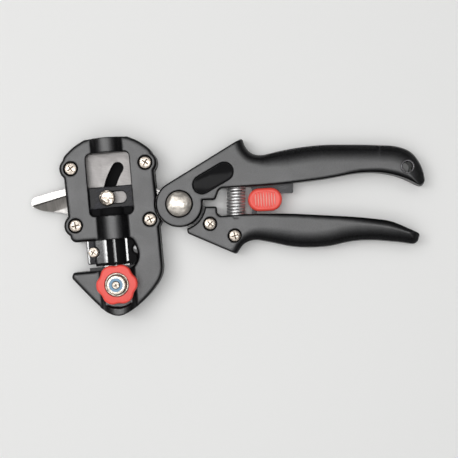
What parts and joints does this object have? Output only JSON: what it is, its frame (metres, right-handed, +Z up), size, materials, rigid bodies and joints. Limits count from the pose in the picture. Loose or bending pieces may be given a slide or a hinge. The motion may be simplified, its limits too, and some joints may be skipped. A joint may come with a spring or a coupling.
{
  "type": "omega grafting tool",
  "caption": "hand plier that drives an omega-shaped grafting blade down a cast head onto an anvil, with bypass pruning blades, return spring and latch",
  "frame": {"origin": "on the pivot bolt's axis, where its flush end meets the plane that the tool's back rests on", "axes": "+X along the closed handles towards their ends, +Y towards the upper handle, +Z up out of the front face, along the pivot axis"},
  "size_m": [0.219, 0.0986, 0.0322],
  "materials": {
    "cast_paint": "satin dark grey powder coat on cast alloy",
    "plate_steel": "ground and polished steel plate",
    "latch_steel": "dark grey phosphated steel",
    "nickel": "bright nickel plated fasteners",
    "block_paint": "glossy black enamel",
    "blade_steel": "hardened and ground blade steel",
    "anvil_plastic": "hard black plastic",
    "red_plastic": "smooth moulded red plastic",
    "blue_nylon": "blue nylon locking ring",
    "badge_face": "blank dark inlay",
    "spring_steel": "bright drawn spring wire"
  },
  "bodies": {
    "head": {"front_housing": "cast_paint", "back_cover": "cast_paint", "side_plate": "plate_steel", "housing_screws": "nickel", "back_screws": "nickel", "anvil": "anvil_plastic", "clamp_bolt": "nickel", "pivot_bolt": "nickel", "pivot_nut": "nickel", "upper_handle": "cast_paint", "tang_screws": "nickel", "badge_plate": "badge_face", "lanyard_eyelet": "nickel", "latch_pins": "nickel", "return_spring": "spring_steel"},
    "lever_side": {"lever": "plate_steel", "drive_pin": "nickel", "drive_bush": "nickel", "lower_handle": "cast_paint", "handle_screws": "nickel", "catch_pin": "nickel"},
    "plunger": {"cutter_carrier": "block_paint", "cutter_clamp": "block_paint", "omega_blade": "blade_steel", "cutter_screws": "nickel"},
    "latch": {"latch_plate": "latch_steel", "latch_button": "red_plastic", "latch_backing": "red_plastic", "latch_rivets": "nickel"},
    "knob": {"clamp_knob": "red_plastic", "knob_washer": "nickel", "lock_nut": "nickel", "nut_ring": "blue_nylon"}
  },
  "joints": [
    {"name": "handle_open", "type": "hinge", "parent": "head", "child": "lever_side", "pos_m": [0, 0, 0.0048], "axis": [0, 0, -1], "range_deg": [0, 25.6], "deforming": ["return_spring"]},
    {"name": "plunger_slide", "type": "slide", "parent": "head", "child": "plunger", "axis": [-0.0872, 0.9962, 0], "range_m": [0, 0.01634]},
    {"name": "latch_slide", "type": "slide", "parent": "head", "child": "latch", "axis": [1, 0, 0], "range_m": [0, 0.004]},
    {"name": "knob_turn", "type": "hinge", "parent": "head", "child": "knob", "pos_m": [-0.03348, -0.04412, 0.0235], "axis": [0, 0, 1], "continuous": true}
  ],
  "couplings": [
    {"joint": "plunger_slide", "follows": "handle_open", "m_per_rad": 0.036542}
  ]
}
